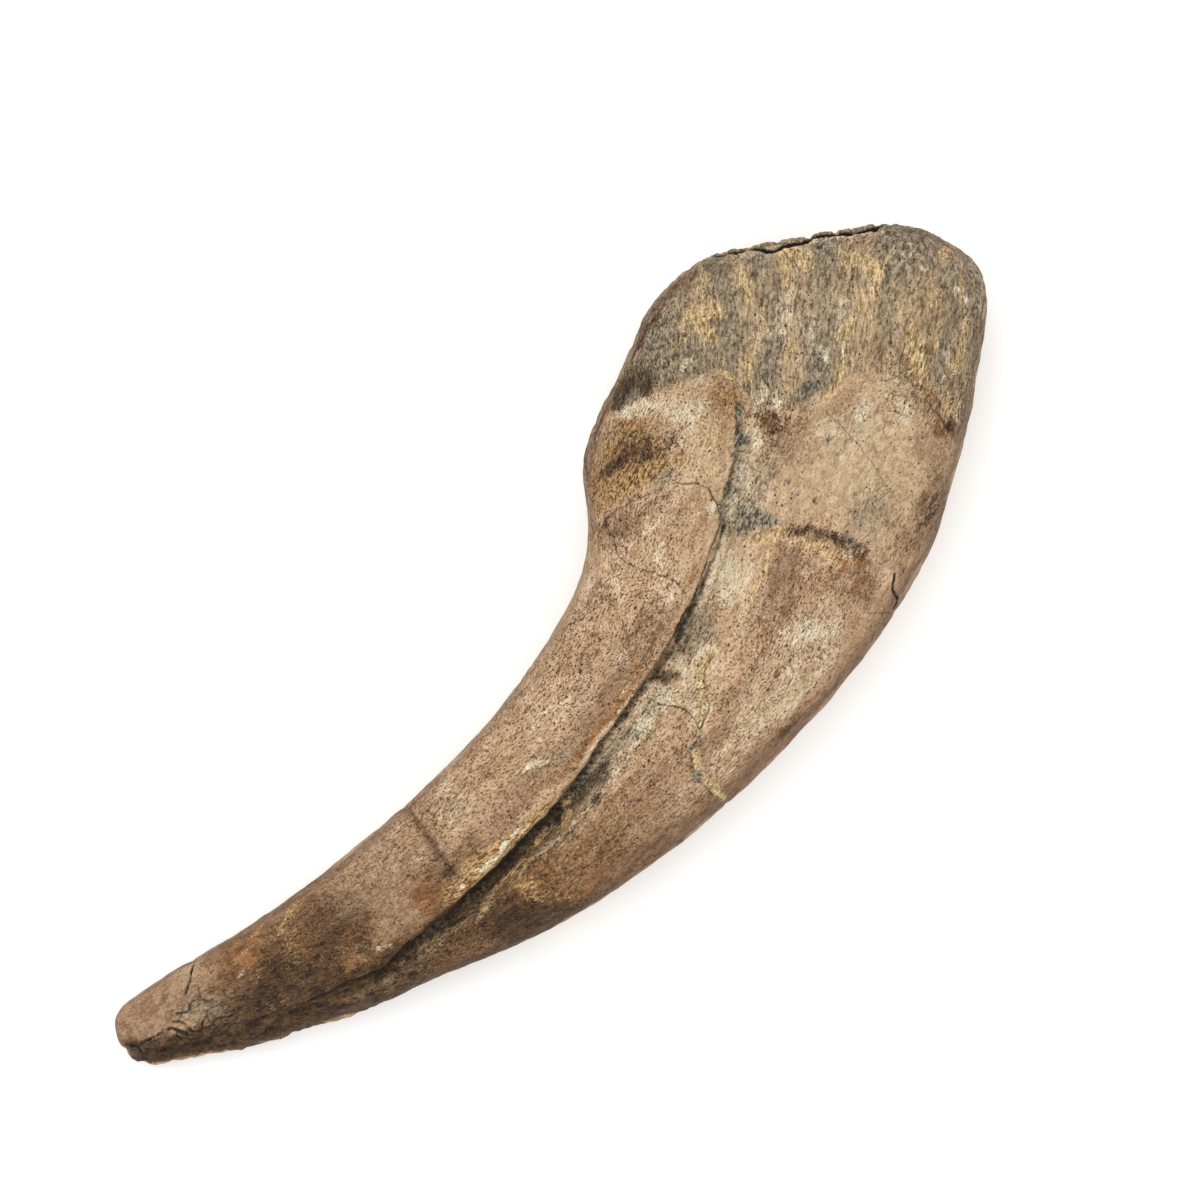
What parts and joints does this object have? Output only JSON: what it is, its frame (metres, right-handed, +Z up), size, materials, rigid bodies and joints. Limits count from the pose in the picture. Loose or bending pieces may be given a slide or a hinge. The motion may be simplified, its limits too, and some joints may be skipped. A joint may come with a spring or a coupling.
{
  "type": "fossil claw",
  "caption": "Curved fossil claw bone of a large meat-eating dinosaur, with a grooved flank, a broad joint end and a blunt broken tip, lying on its side.",
  "frame": {"origin": "on the surface that the claw lies on, under the middle of its outline", "axes": "+X along the claw from its tip to its joint end, +Y towards its concave edge, +Z up out of the shown flank"},
  "size_m": [0.2, 0.0676, 0.0319],
  "materials": {
    "fossil_bone": "matte, mineral-stained fossil bone"
  },
  "bodies": {
    "root": {"claw": "fossil_bone"}
  },
  "joints": []
}
